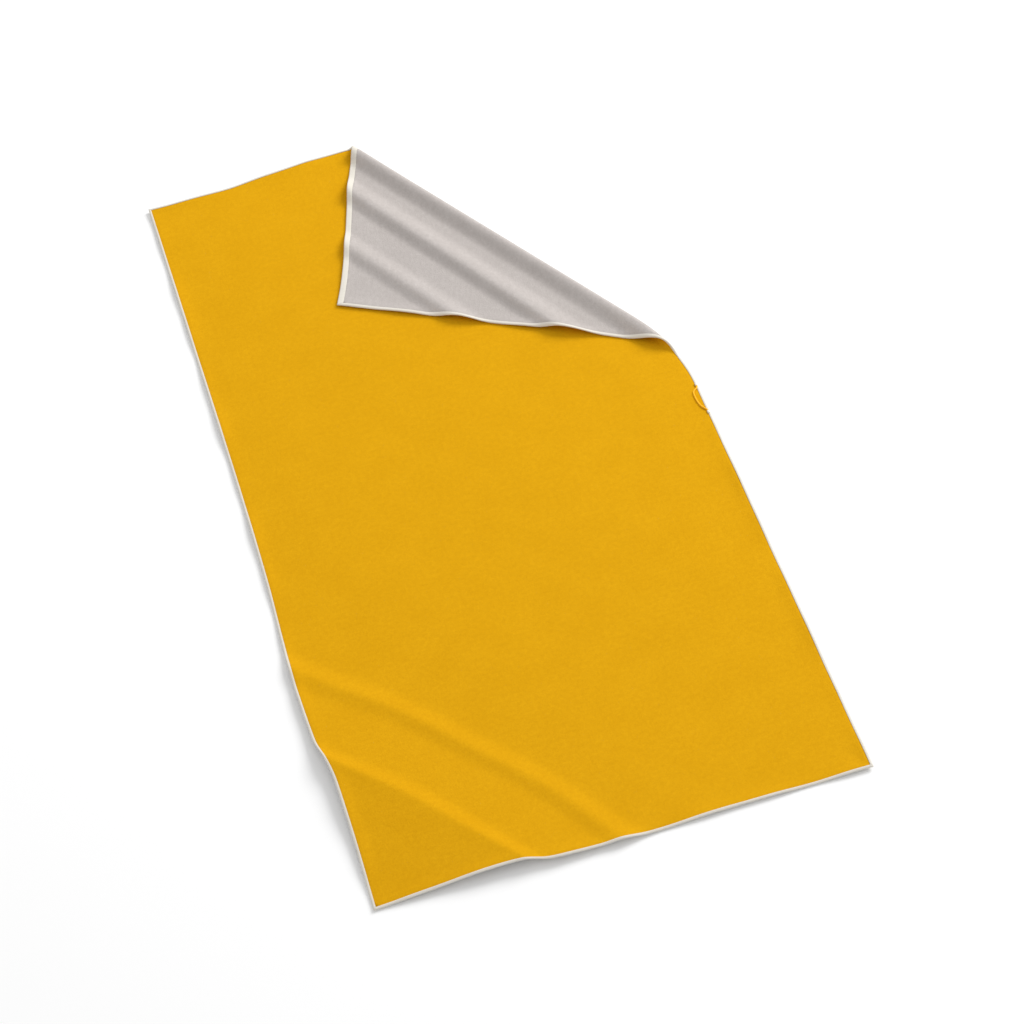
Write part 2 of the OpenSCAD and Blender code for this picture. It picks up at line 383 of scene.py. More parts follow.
    def slide(self, flat: Array, place: Array) -> Array:
        """Find how far the cloth has slid over the floor at the fold's ends and at the left edge.

        Args:
            flat: Points of the flat towel.
            place: Their places on the floor.

        Returns:
            Shifts of the places.
        """
        past = self.past_fold(flat)
        below_top = self.cut.length / 2 - flat[..., 1]
        reach = np.where(past < 0, bell(np.minimum(past, 0), self.slide_spread),
                         1 - smooth_step(past - self.roll_arc, 0, self.tip_across))
        along = self.fold_end_slide * bell(below_top, self.slide_depth) * reach
        x, y = place[..., 0], place[..., 1]
        # The tuck is just above the fold's foot, and the bow is below the left edge's middle
        side = self.cut.width / 2
        fold_foot = self.fold_start[1] + self.along[1] / self.along[0] * (side - self.fold_start[0])
        tuck = -self.foot_tuck * bell(y - fold_foot - 20, 45) * smooth_step(x, side - 150, side)
        bow = -self.left_bow * bell(y + 330, 260) * (1 - smooth_step(x, -side, 280 - side))
        return -self.along * along[..., None] + np.stack([tuck + bow, np.zeros(x.shape)], -1)

    def fold_end_lift(self, flat: Array) -> Array:
        """Rise of the roll at its upper end, where the cloth stands up at the towel's edge."""
        from_roll = self.past_fold(flat) - self.roll_arc / 2
        return self.fold_end_rise * bell(self.cut.length / 2 - flat[..., 1], 55) * bell(from_roll, 45)

    def turned_height(self, x: Array) -> Array:
        """Find the height of the turned cloth's upper side.

        Args:
            x: Distances from the fold.

        Returns:
            Heights above the floor.
        """
        z = self.rest + (2 * self.roll_r - self.rest) * bump(x, self.roll_fall, self.roll_fall)
        for at, top, below, above in self.crests:
            z = z + top * bump(x - at, below, above)
        return z

    def unevenness(self, plan: Array) -> Array:
        """Slight rise and fall of the whole towel where it doesn't lie quite flat, never below 0.

        Args:
            plan: Places on the floor, so that cloth that lies on cloth follows it.

        Returns:
            Heights, which fade to 0 at the fold.
        """
        # Slow waves that run in different directions
        x, y = plan[..., 0], plan[..., 1]
        waves = (np.sin((x * 0.9 + y * 0.43) / 49 + 0.4) + 0.8 * np.sin((x * 0.31 - y) / 63 + 2.1)
                 + 0.6 * np.sin((x + y * 0.17) / 31 + 1.0) * np.sin((y - x * 0.2) / 74)
                 + 0.35 * np.sin((y * 0.8 + x * 0.6) / 22 + 0.2) * np.sin((x * 0.8 - y * 0.6) / 57))
        from_fold = np.abs((plan - self.fold_start) @ self.across - self.roll_r)
        return self.swell * (waves + 2.75) / 2 * smooth_step(from_fold, 15, 110)

    def free_edge(self, flat: Array) -> Array:
        """Find the lift of the free edges, which curl up a little between where they touch.

        Args:
            flat: Points of the flat towel.

        Returns:
            Heights, which fade to 0 away from the edges and round the roll.
        """
        x, y = flat[..., 0], flat[..., 1]
        wave = 0.5 + 0.3 * np.sin((x * 1.3 + y) / 47 + 0.9) + 0.2 * np.sin((y - x) / 19)
        from_fold = np.abs(self.past_fold(flat) - self.roll_arc / 2)
        return self.edge_lift * wave * bell(self.cut.to_outline(flat), 14) * smooth_step(from_fold, 30, 100)

    def lay(self, flat: Array, level: Array) -> Array:
        """Lay points of the flat towel.

        Args:
            flat: Points of the flat towel.
            level: Their height in its thickness, from the back cloth's outer side.

        Returns:
            Their places in space, in metres.
        """
        level = np.broadcast_to(level, flat.shape[:-1])
        past = self.past_fold(flat)
        run = (flat - self.fold_start) @ self.along
        lying, turned = past < 0, past > self.roll_arc
        angle = np.clip(past / self.roll_r, 0, math.pi)
        reach = (self.roll_r - level) * np.sin(angle)
        width = np.where(turned, past - self.roll_arc, 0)
        reach = np.where(turned, -width * (1 - self.take_up), reach)
        place = self.fold_start + self.along * (run + self.slip * width)[..., None]
        place = place + self.across * reach[..., None]
        flat_place = flat + self.ridge_across * self.ridge_shift(flat)[..., None]
        place = np.where(lying[..., None], flat_place, place)
        height = self.roll_r - (self.roll_r - level) * np.cos(angle)
        turned_z = self.turned_height(self.station(flat)) - level
        height = np.where(turned, turned_z, np.where(lying, self.ridge_height(flat) + level, height))
        height = height + self.free_edge(flat) + self.unevenness(place) + self.fold_end_lift(flat)
        place = place + self.slide(flat, place)
        return np.concatenate([place, height[..., None]], -1) * MM


# ---- Meshes ----

def make_piece(name: str, points: Array, faces: list[tuple[int, ...]] | Array, flat: Array,
               uv: Array) -> Piece:
    """Make a mesh object that keeps its points' places in the flat towel.

    Args:
        name: The object's name.
        points: Points in metres.
        faces: Point numbers of each face.
        flat: Each point's place in the flat towel, in millimetres.
        uv: Each point's texture coordinates, in metres.

    Returns:
        The new object, smooth shaded.
    """
    mesh = bpy.data.meshes.new(name)
    mesh.from_pydata(points.tolist(), [], [tuple(map(int, f)) for f in faces])
    mesh.polygons.foreach_set("use_smooth", np.ones(len(mesh.polygons), bool))
    keep = mesh.attributes.new("flat", "FLOAT_VECTOR", "POINT")
    keep.data.foreach_set("vector", with_zero(flat * MM).astype(np.float32).ravel())
    corners = np.zeros(len(mesh.loops), np.int32)
    mesh.loops.foreach_get("vertex_index", corners)
    layer = mesh.uv_layers.new(name="UVMap")
    layer.data.foreach_set("uv", uv[corners].astype(np.float32).ravel())
    mesh.update()
    return put_in_scene(name, mesh)


def with_zero(flat: Array) -> Array:
    """Add a height of 0 to flat points."""
    return np.concatenate([flat, np.zeros((*flat.shape[:-1], 1))], -1)


def blend_over_fold(piece: Piece) -> None:
    """Bake a piece's transform while its points lie at their flat places, then put the laid shape back.

    Args:
        piece: A mesh whose "flat" attribute holds its points' places in the flat towel.
    """
    mesh = piece.data
    count = len(mesh.vertices) * 3
    laid, flat = np.zeros(count, np.float32), np.zeros(count, np.float32)
    mesh.vertices.foreach_get("co", laid)
    mesh.attributes["flat"].data.foreach_get("vector", flat)
    mesh.vertices.foreach_set("co", flat)
    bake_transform(piece)
    mesh.vertices.foreach_set("co", laid)
    mesh.update()


def attach(piece: Piece, turned: bool) -> None:
    """Fix a piece to the towel, or, if it runs on to the turned corner, only bake its transform while it
    lies flat.

    Args:
        piece: The piece.
        turned: Whether the piece runs on to the turned corner.
    """
    if turned:
        blend_over_fold(piece)
    else:
        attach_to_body(piece, "towel")


def dress(piece: Piece, finish: Material) -> None:
    """Give a piece its material.

    Args:
        piece: The piece, which may hold the material already.
        finish: The material.
    """
    if not piece.data.materials:
        piece.data.materials.append(finish)
    piece.data.materials[0] = finish


# ---- Finishes ----

@dataclass(frozen=True)
class Finish:
    """A material with a name, a Principled shader and the coordinates that its patterns follow."""

    name: str

    def start(self, roughness: float, gloss: float, sheen: float = 0.0,
              tint: str = "#ffffff") -> tuple[NodeTree, Node, Any]:
        """Start the material.

        Args:
            roughness: The shader's roughness.
            gloss: The shader's specular level.
            sheen: The shader's sheen weight.
            tint: The colour of its sheen.

        Returns:
            The node tree, its Principled node and the sockets of the piece's coordinates.
        """
        material = bpy.data.materials.new(self.name)
        material.use_nodes = True
        tree = material.node_tree
        shader = tree.nodes["Principled BSDF"]
        for key, value in (("Roughness", roughness), ("Specular IOR Level", gloss),
                           ("Sheen Weight", sheen), ("Sheen Roughness", 0.5),
                           ("Sheen Tint", linear(tint))):
            shader.inputs[key].default_value = value
        return tree, shader, add_node(tree, "ShaderNodeTexCoord").outputs

    def end(self, tree: NodeTree, shader: Node, height: Any, strength: float, deep_mm: float,
            colour: Any = None) -> Material:
        """End the material with its relief and its colour.

        Args:
            tree: The material's node tree.
            shader: Its Principled node.
            height: The socket that gives the relief.
            strength: How strongly the relief shows.
            deep_mm: The relief's depth.
            colour: The socket that gives the colour, unless it is the same all over.

        Returns:
            The material.
        """
        if colour:
            tree.links.new(colour, shader.inputs["Base Color"])
        relief = add_node(tree, "ShaderNodeBump", inputs={"Strength": strength, "Distance": deep_mm * MM},
                          links={"Height": height})
        tree.links.new(relief.outputs["Normal"], shader.inputs["Normal"])
        return bpy.data.materials[self.name]


@dataclass(frozen=True)
class BrushedMicrofibre(Finish):
    """Brushed polyester microfibre, knitted and then raised to a short nap.

    The nap scatters light evenly, so the cloth is matt with a soft lift at grazing angles. It
    lies this way and that in patches, which shows as faint lighter and darker clouds and flecks.
    """

    colour: str
    shade: str
    light: str
    cloud_mm: float = 60
    mottle_mm: float = 8
    fleck_mm: float = 3.0
    # The real loops are 0.4 mm apart, too fine to show, so the knit is drawn as a soft wide waver
    knit_mm: float = 10.05
    # The real nap is finer than 0.3 mm, and is drawn coarser so that it shows
    nap_mm: float = 0.9

    def build(self) -> Material:
        """Build the material: clouds, mottles and flecks of colour over a relief of knit and nap.

        Returns:
            The material.
        """
        tree, shader, place = self.start(0.95, 0.02, sheen=0.1, tint=self.light)
        noise = {}
        for key, size, detail in (("cloud", self.cloud_mm, 3.0), ("mottle", self.mottle_mm, 4.0),
                                  ("fleck", self.fleck_mm, 2.0), ("nap", self.nap_mm, 2.0)):
            node = add_node(tree, "ShaderNodeTexNoise", inputs={"Scale": per_metre(size), "Detail": detail},
                            links={"Vector": place["UV"]})
            noise[key] = add_node(tree, "ShaderNodeMapRange", inputs={1: 0.32, 2: 0.68},
                                  links={0: node.outputs["Fac"]}).outputs[0]
        colour = add_node(tree, "ShaderNodeMix", {"data_type": "RGBA"},
                          {6: linear(self.colour), 7: linear(self.light)}, {0: noise["cloud"]}).outputs[2]
        for key, amount in (("mottle", 0.30), ("fleck", 0.26)):
            much = add_node(tree, "ShaderNodeMath", {"operation": "MULTIPLY"}, {1: amount},
                            {0: noise[key]}).outputs[0]
            colour = add_node(tree, "ShaderNodeMix", {"data_type": "RGBA"}, {7: linear(self.shade)},
                              {0: much, 6: colour}).outputs[2]
        knit = add_node(tree, "ShaderNodeTexWave", {"bands_direction": "Y"},
                        {"Scale": per_metre(self.knit_mm) / BANDS, "Distortion": 2.5, "Detail": 2.0,
                         "Detail Scale": 2.0}, {"Vector": place["UV"]})
        height = noise["nap"]
        for share, source in ((0.35, knit.outputs["Fac"]), (0.9, noise["fleck"])):
            height = add_node(tree, "ShaderNodeMath", {"operation": "MULTIPLY_ADD"}, {1: share},
                              {0: source, 2: height}).outputs[0]
        return self.end(tree, shader, height, 0.55, 0.35, colour)


@dataclass(frozen=True)
class WovenTape(Finish):
    """Polyester binding tape, woven with fine ribs across it, so light breaks on small soft steps."""

    colour: str
    shade: str
    # The real ribs are about 1 mm apart, too fine to show, so they are drawn wider
    rib_mm: float = 6.91
    thread_mm: float = 0.7
    soil_mm: float = 26

    def build(self) -> Material:
        """Build the material: a slightly uneven white over a relief of ribs and threads.

        Returns:
            The material.
        """
        tree, shader, place = self.start(0.85, 0.15, sheen=0.06, tint=self.colour)
        uneven, fibre = (add_node(tree, "ShaderNodeTexNoise", None,
                                  {"Scale": per_metre(size), "Detail": detail},
                                  {"Vector": place["UV"]}).outputs["Fac"]
                         for size, detail in ((self.soil_mm, 3.0), (self.thread_mm, 2.0)))
        rib = add_node(tree, "ShaderNodeTexWave", {"bands_direction": "X"},
                       {"Scale": per_metre(self.rib_mm) / BANDS, "Distortion": 0.6, "Detail": 1.0},
                       {"Vector": place["UV"]}).outputs["Fac"]
        much = add_node(tree, "ShaderNodeMath", {"operation": "MULTIPLY"}, {1: 0.7}, {0: uneven}).outputs[0]
        colour = add_node(tree, "ShaderNodeMix", {"data_type": "RGBA"},
                          {6: linear(self.colour), 7: linear(self.shade)}, {0: much}).outputs[2]
        height = add_node(tree, "ShaderNodeMath", {"operation": "MULTIPLY_ADD"}, {1: 0.4},
                          {0: fibre, 2: rib}).outputs[0]
        return self.end(tree, shader, height, 0.5, 0.2, colour)


@dataclass(frozen=True)
class SpunThread(Finish):
    """Spun polyester thread or cord, softly glossy along its twisted fibres, with small colour changes."""

    colour: str
    shade: str
    fibre_mm: float = 0.35
    patch_mm: float = 6

    def build(self) -> Material:
        """Build the material. Its patterns sit in space, because the pieces are short and rigid.

        Returns:
            The material.
        """
        tree, shader, place = self.start(0.65, 0.2, sheen=0.1, tint=self.colour)
        fibre, patch = (add_node(tree, "ShaderNodeTexNoise", None, {"Scale": per_metre(size), "Detail": 2.0},
                                 {"Vector": place["Object"]}).outputs["Fac"]
                        for size in (self.fibre_mm, self.patch_mm))
        colour = add_node(tree, "ShaderNodeMix", {"data_type": "RGBA"},
                          {6: linear(self.colour), 7: linear(self.shade)}, {0: patch}).outputs[2]
        return self.end(tree, shader, fibre, 0.4, 0.12, colour)


@dataclass(frozen=True)
class MattBoard(Finish):
    """Painted matt board, the plain pale floor."""

    colour: str
    grain_mm: float = 40

    def build(self) -> Material:
        """Build the material: one colour with a barely uneven surface.

        Returns:
            The material.
        """
        tree, shader, place = self.start(0.9, 0.1)
        shader.inputs["Base Color"].default_value = linear(self.colour)
        grain = add_node(tree, "ShaderNodeTexNoise", inputs={"Scale": per_metre(self.grain_mm)},
                         links={"Vector": place["Object"]})
        return self.end(tree, shader, grain.outputs["Fac"], 0.02, 0.1)


# ---- The two cloths ----

@dataclass(frozen=True)
class Rows:
    """Rows of points across the flat towel, in the order in which the cloth lies."""

    drape: Drape
    side_inset: float
    end_inset: float
    columns: int = 108
    near_edge: tuple[float, ...] = (0, 0.8, 1.8, 3.2, 5.5, 9, 14)
    off_corner: float = 0.4
    # Where the first ridge starts and the last crest ends, and the number of rows in each stretch
    ridge_foot: float = 90
    crest_end: float = 222
    foot_rows: int = 14
    ridge_rows: int = 72
    middle_rows: tuple[int, int] = (58, 62)
    roll_rows: int = 30
    crest_rows: int = 88
    tip_rows: int = 18

    @property
    def corner(self) -> Array:
        """Half the width and half the length that the rows fill."""
        cut = self.drape.cut
        return np.array([cut.width / 2 - self.side_inset, cut.length / 2 - self.end_inset])

    def crossing(self, normal: Array, offset: Array, start: Edge, end: Edge) -> tuple[Array, Array]:
        """Find where the lines normal . p = offset meet two edges of the filled rectangle.

        Args:
            normal: The lines' normal, one for all or one for each.
            offset: The lines' offsets.
            start: The edge at which they start.
            end: The edge at which they end.

        Returns:
            Their start points and their end points.
        """
        half = self.corner
        normal = np.broadcast_to(normal, (len(offset), 2))
        signs = {Edge.LEFT: -1, Edge.BOTTOM: -1, Edge.RIGHT: 1, Edge.TOP: 1}
        found = []
        for edge in (start, end):
            fixed = 0 if edge.is_side else 1
            value = signs[edge] * half[fixed]
            points = np.zeros((len(offset), 2))
            points[:, fixed] = value
            points[:, 1 - fixed] = (offset - normal[:, fixed] * value) / normal[:, 1 - fixed]
            found.append(points)
        return found[0], found[1]

    def ends(self) -> tuple[Array, Array]:
        """Find the two ends of every row.

        Returns:
            The rows' start points and their end points.
        """
        drape, half = self.drape, self.corner
        # Over the ridges, parallel to them
        normal = drape.ridge_across
        first = (-half - drape.lower_left) @ normal + self.off_corner
        last = drape.ridge_stops[-1][0] + 16
        stations = np.concatenate([np.linspace(first, self.ridge_foot, self.foot_rows)[:-1],
                                   np.linspace(self.ridge_foot, last, self.ridge_rows)])
        parts = [self.crossing(normal, stations + drape.lower_left @ normal, Edge.LEFT, Edge.BOTTOM)]
        # Over the flat middle, fanning out to the diagonal and then to the fold
        fold = drape.across @ drape.fold_start
        diagonal = np.array([-half[0], half[1]]), np.array([half[0], -half[1]])
        fold_ends = self.crossing(drape.across, np.array([fold]), Edge.TOP, Edge.RIGHT)
        ridge_ends = [side[-1] for side in parts[0]]
        for near, far, count in ((ridge_ends, diagonal, self.middle_rows[0]),
                                 (diagonal, fold_ends, self.middle_rows[1])):
            share = np.linspace(0, 1, count)[1:, None]
            parts.append(tuple(a + (b - a) * share for a, b in zip(near, far)))
        # Round the roll
        turns = np.linspace(0, drape.roll_arc, self.roll_rows)[1:]
        parts.append(self.crossing(drape.across, fold + turns, Edge.TOP, Edge.RIGHT))
        # Over the turned corner, where the rows follow the crests
        tip = drape.station(half[None, :])[0] - self.off_corner
        x = np.concatenate([np.linspace(0, self.crest_end, self.crest_rows)[1:],
                            np.linspace(self.crest_end, tip, self.tip_rows)[1:]])
        spread, keep = drape.fan(x)[:, None], 1 - drape.take_up
        normal = drape.across * (keep - spread * drape.slip) - drape.along * spread
        offset = x + normal @ drape.fold_start + (keep - spread[:, 0] * drape.slip) * drape.roll_arc
        parts.append(self.crossing(normal, offset, Edge.TOP, Edge.RIGHT))
        return np.concatenate([p[0] for p in parts]), np.concatenate([p[1] for p in parts])

    def points(self) -> Array:
        """Set the points along every row, closer together near its ends.

        Returns:
            Flat points, as rows by columns by 2.
        """
        start, end = self.ends()
        length = np.linalg.norm(end - start, axis=1)
        near = np.array(self.near_edge)
        margin = near[-1] * np.minimum(1, length / (4 * near[-1]))
        left = near / near[-1] * (margin / length)[:, None]
        middle = self.columns - 2 * len(near)
        inner = np.linspace(0, 1, middle + 2)[1:-1]
        inner = left[:, -1:] + (1 - 2 * left[:, -1:]) * inner
        share = np.concatenate([left, inner, 1 - left[:, ::-1]], 1)
        return start[:, None] + (end - start)[:, None] * share[..., None]


@dataclass
class Cloth:
    """One of the towel's two cloths: a thin slab that the tape binds at its edges."""

    name: str
    nodes: tuple[str, str]
    slot: str
    finish: Material
    drape: Drape
    is_face: bool
    plump: float = 0.18
    pinch: float = 0.45

    def outer_level(self, flat: Array, from_tape: Array) -> Array:
        """Level of the side that shows, pinched in beside the tape and puckered along the seam.

        Args:
            flat: Points of the flat towel.
            from_tape: Their distance from the tape's inner edge.

        Returns:
            Levels in the towel's thickness.
        """
        puckers = 0.5 + 0.5 * np.sin((flat[..., 0] + flat[..., 1]) / 2.3)
        dent = self.pinch * bell(from_tape, 2.2) * (0.75 + 0.25 * puckers)
        rise = self.plump * (1 - bell(from_tape, 6))
        return self.drape.cut.thickness + rise - dent if self.is_face else dent

    def build(self) -> Piece:
        """Build the cloth as a closed slab and lay it.

        Returns:
            The cloth.
        """
        cut = self.drape.cut
        insets = (cut.face_w, cut.face_w) if self.is_face else (cut.side_back_w, cut.end_back_w)
        rows = Rows(self.drape, *insets)
        flat = rows.points()
        from_tape = np.min(rows.corner - np.abs(flat), axis=-1)
        outer = self.drape.lay(flat, self.outer_level(flat, from_tape))
        inner = self.drape.lay(flat, np.full(flat.shape[:-1], cut.middle))
        upper, lower = (outer, inner) if self.is_face else (inner, outer)
        n, m = flat.shape[:2]
        number = np.arange(n * m).reshape(n, m)
        near, far = number[:-1], number[1:]
        top = np.stack([near[:, :-1], near[:, 1:], far[:, 1:], far[:, :-1]], -1).reshape(-1, 4)
        faces = [top, top[:, ::-1] + n * m]
        for rim in (number[:, 0], number[-1, :], number[::-1, -1], number[0, ::-1]):
            p, q = rim[:-1], rim[1:]
            faces.append(np.stack([p, q, q + n * m, p + n * m], -1))
        points = np.concatenate([upper.reshape(-1, 3), lower.reshape(-1, 3)])
        twice = np.concatenate([flat.reshape(-1, 2)] * 2)
        piece = make_piece(self.name, points, np.concatenate(faces), twice, twice * MM)
        dress(piece, self.finish)
        attach(piece, turned=True)
        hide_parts(*self.nodes)
        LOG.info("%s: %d points, flat %.3f x %.3f m", self.name, len(points), *(2 * rows.corner * MM))
        return piece


# ---- The bound edges ----

@dataclass
class BoundEdge:
    """One edge of the towel: its tape, and the line of stitches that holds it."""

    edge: Edge
    drape: Drape
    tape_finish: Material
    thread_finish: Material
    step: float = 1.6
    stitch_pitch: float = 3.2
    stitch_length: float = 2.7
    thread_d: float = 0.42
    seam_at: float = 1.8
    pucker: float = 0.10
    face_seam_rise: float = 0.36
    back_seam_level: float = 0.10

    @property
    def ends(self) -> tuple[Array, Array]:
        """Find the edge's two corners.

        Returns:
            Its start and its end, going round the towel anticlockwise.
        """
        half = -self.drape.lower_left
        signs = {Edge.BOTTOM: ((-1, -1), (1, -1)), Edge.RIGHT: ((1, -1), (1, 1)),
                 Edge.TOP: ((1, 1), (-1, 1)), Edge.LEFT: ((-1, 1), (-1, -1))}[self.edge]
        return half * np.array(signs[0]), half * np.array(signs[1])

    @property
    def heading(self) -> tuple[Array, Array]:
        """Find which way the edge runs.

        Returns:
            Unit vectors along the edge and inwards from it.
        """
        start, end = self.ends
        way = (end - start) / np.linalg.norm(end - start)
        return way, np.array([-way[1], way[0]])

    def stations(self) -> Array:
        """Set stations along the edge, closer together round the roll.

        Returns:
            Their places as shares of the edge's length.
        """
        start, end = self.ends
        length = float(np.linalg.norm(end - start))
        even = np.linspace(0, 1, int(length / self.step) + 1)
        past = self.drape.past_fold(start + (end - start) * even[:, None])
        weight = np.where((past > -4) & (past < self.drape.roll_arc + 6), 2.0, 1.0)
        total = np.concatenate([[0], np.cumsum((weight[1:] + weight[:-1]) / 2)])
        return np.interp(np.linspace(0, total[-1], int(total[-1]) + 1), total, even)

    def profile(self) -> list[tuple[float, float, bool]]:
        """Draw the outline of the folded tape.

        Returns:
            Points with their distance inwards, their level, and whether they are on the back.
        """
        cut = self.drape.cut
        top, wide, t = cut.thickness, cut.back_w(self.edge), cut.tape
        outer = [(cut.face_w, top - 0.15), (cut.face_w - 0.1, top + 0.28), (cut.face_w - 0.6, top + 0.42),
                 (1.1, top + 0.55), (0.1, top + 0.45), (-0.9, top + 0.05), (-1.6, top * 0.76),
                 (-1.8, top * 0.5), (-1.45, top * 0.24), (-0.6, 0.12), (0.4, 0.0)]
        under = [(0.45 * wide, 0.0), (wide - 0.4, 0.0), (wide, 0.16), (wide, t)]
        inside = [(0.5 * wide, t + 0.05), (t, t + 0.05), (t, top - t), (cut.face_w - 0.2, top - t)]
        marks = [False] * len(outer) + [True] * (len(under) + 1) + [False] * 3
        return [(*q, back) for q, back in zip(outer + under + inside, marks)]

    def place(self, share: Array, inwards: float, back: bool) -> Array:
        """Find flat points on a line parallel to the edge, which ends at the mitres.

        Args:
            share: Places along the line, from 0 to 1.
            inwards: The line's distance from the edge.
            back: Whether it is on the back, where the long and short edges' tapes differ in width.

        Returns:
            Flat points.
        """
        start, end = self.ends
        way, inward = self.heading
        cut = self.drape.cut
        ratio = 1.0
        if back:
            ratio = (cut.end_back_w + cut.side_back_w - cut.back_w(self.edge)) / cut.back_w(self.edge)
        a = start + (inward + way * ratio) * inwards
        b = end + (inward - way * ratio) * inwards
        return a + (b - a) * share[:, None]

    def settle(self, piece: Piece, finish: Material, kind: str) -> Piece:
        """Dress a piece of this edge, fix it to the towel unless the edge runs on to the turned corner, and
        report it.

        Args:
            piece: The piece.
            finish: Its material.
            kind: The kind of node that it stands for.

        Returns:
            The same piece.
        """
        dress(piece, finish)
        attach(piece, self.edge.is_turned)
        nodes = [f"{self.edge.value}_{kind}"]
        if self.edge.is_turned:
            nodes.append(f"corner_{self.edge.value}_{kind}")
        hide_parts(*nodes)
        LOG.info("%s: %d points", piece.name, len(piece.data.vertices))
        return piece

    def build_tape(self) -> Piece:
        """Build the tape as a folded strip that grips the edge, with small puckers at the stitches.

        Returns:
            The tape.
        """
        share = self.stations()
        run = share * float(np.linalg.norm(self.ends[1] - self.ends[0]))
        loop = self.profile()
        dent = self.pucker * (0.5 + 0.5 * np.cos(2 * math.pi * run / self.stitch_pitch))
        points, flats, uvs = [], [], []
        around = 0.0
        for k, (inwards, level, back) in enumerate(loop):
            flat = self.place(share, inwards, back)
            on_face = level > self.drape.cut.thickness
            sunk = dent * bell(inwards - self.seam_at, 1.2) * on_face
            points.append(self.drape.lay(flat, level - sunk))
            flats.append(flat)
            uvs.append(np.stack([run * MM, np.full(run.shape, around * MM)], -1))
            around += math.dist((inwards, level), loop[(k + 1) % len(loop)][:2])
        number = np.arange(len(loop) * len(share)).reshape(len(loop), -1)
        piece = make_piece(f"{self.edge.value}_binding", np.concatenate(points), skin(number.T),
                           np.concatenate(flats), np.concatenate(uvs))
        return self.settle(piece, self.tape_finish, "tape")

    def seam_line(self, level: float, outwards: float) -> Piece:
        """Make a seam as a line of edges that knows which way is up.

        Args:
            level: The seam's level in the towel's thickness.
            outwards: 1 on the face and -1 on the back.

        Returns:
            An object whose points have the attributes "up" and "flat".
        """
        share = self.stations()
        flat = self.place(share, self.seam_at, False)
        points = self.drape.lay(flat, level)
        up = (self.drape.lay(flat, level + 1.0) - points) * outwards
        mesh = bpy.data.meshes.new("seam_line")
        mesh.from_pydata(points.tolist(), [(k, k + 1) for k in range(len(share) - 1)], [])
        for name, values in (("up", unit(up)), ("flat", with_zero(flat * MM))):
            mesh.attributes.new(name, "FLOAT_VECTOR", "POINT")
            mesh.attributes[name].data.foreach_set("vector", values.astype(np.float32).ravel())
        return put_in_scene("seam_line", mesh)

    def build_stitches(self, tree: NodeTree) -> Piece:
        """Build the lockstitches on both sides of the edge.

        Args:
            tree: The Geometry Nodes tree that sets stitches along a line.

        Returns:
            The stitches as one piece.
        """
        sizes = {"Pitch": self.stitch_pitch * MM, "Stitch Length": self.stitch_length * MM,
                 "Thread Width": self.thread_d * MM, "Material": self.thread_finish}
        face_level = self.drape.cut.thickness + self.face_seam_rise
        sides = [apply_nodes(self.seam_line(level, outwards), tree, {**sizes, "Seed": seed})
                 for level, outwards, seed in ((face_level, 1.0, 1), (self.back_seam_level, -1.0, 2))]
        piece = joined(f"{self.edge.value}_stitching", sides)
        return self.settle(piece, self.thread_finish, "seam_thread")


def apply_nodes(piece: Piece, tree: NodeTree,
                values: dict[str, Any]) -> Piece:
    """Run a Geometry Nodes tree on an object and keep the result as a plain mesh.

    Args:
        piece: The object to start from.
        tree: The tree.
        values: Its inputs by name.

    Returns:
        The same object with its new mesh and no modifier.
    """
    modifier = piece.modifiers.new("nodes", "NODES")
    modifier.node_group = tree
    for item in tree.interface.items_tree:
        if item.item_type == "SOCKET" and item.in_out == "INPUT" and item.name in values:
            modifier[item.identifier] = values[item.name]
    bpy.context.view_layer.update()
    graph = bpy.context.evaluated_depsgraph_get()
    result = bpy.data.meshes.new_from_object(piece.evaluated_get(graph))
    piece.modifiers.clear()
    old, piece.data = piece.data, result
    bpy.data.meshes.remove(old)
    return piece


def joined(name: str, pieces: list[Piece]) -> Piece:
    """Join mesh objects into one.

    Args:
        name: The joined object's name.
        pieces: The objects, whose first one stays.

    Returns:
        The joined object.
    """
    bpy.ops.object.select_all(action="DESELECT")
    for piece in pieces:
        piece.select_set(True)
    bpy.context.view_layer.objects.active = pieces[0]
    bpy.ops.object.join()
    pieces[0].name = pieces[0].data.name = name
    return pieces[0]


def start_tree(name: str, inputs: dict[str, str]) -> tuple[NodeTree, Any, Any]:
    """Start a Geometry Nodes tree that sets something at every step along a line.

    Args:
        name: The tree's name.
        inputs: The kind of each of its own inputs, by name.

    Returns:
        The tree, the sockets of its inputs, and the socket of the steps.
    """
    tree = bpy.data.node_groups.new(name, "GeometryNodeTree")
    tree.interface.new_socket("Geometry", in_out="OUTPUT", socket_type="NodeSocketGeometry")
    every = {"Geometry": "Geometry", "Pitch": "Float", **inputs, "Seed": "Int", "Material": "Material"}
    for label, kind in every.items():
        tree.interface.new_socket(label, in_out="INPUT", socket_type=f"NodeSocket{kind}")
    given = add_node(tree, "NodeGroupInput").outputs
    curve = add_node(tree, "GeometryNodeMeshToCurve", links={"Mesh": given["Geometry"]})
    even = add_node(tree, "GeometryNodeResampleCurve", {"mode": "LENGTH"},
                    links={"Curve": curve.outputs[0], "Length": given["Pitch"]})
    return tree, given, even.outputs[0]


def end_tree(tree: NodeTree, given: Any, instances: Any) -> NodeTree:
    """Make a tree's instances real and give them their material.

    Args:
        tree: The tree.
        given: The sockets of its inputs.
        instances: The socket of the instances.

    Returns:
        The same tree.
    """
    real = add_node(tree, "GeometryNodeRealizeInstances", links={0: instances})
    dressed = add_node(tree, "GeometryNodeSetMaterial",
                       links={"Geometry": real.outputs[0], "Material": given["Material"]})
    add_node(tree, "NodeGroupOutput", links={0: dressed.outputs[0]})
    return tree


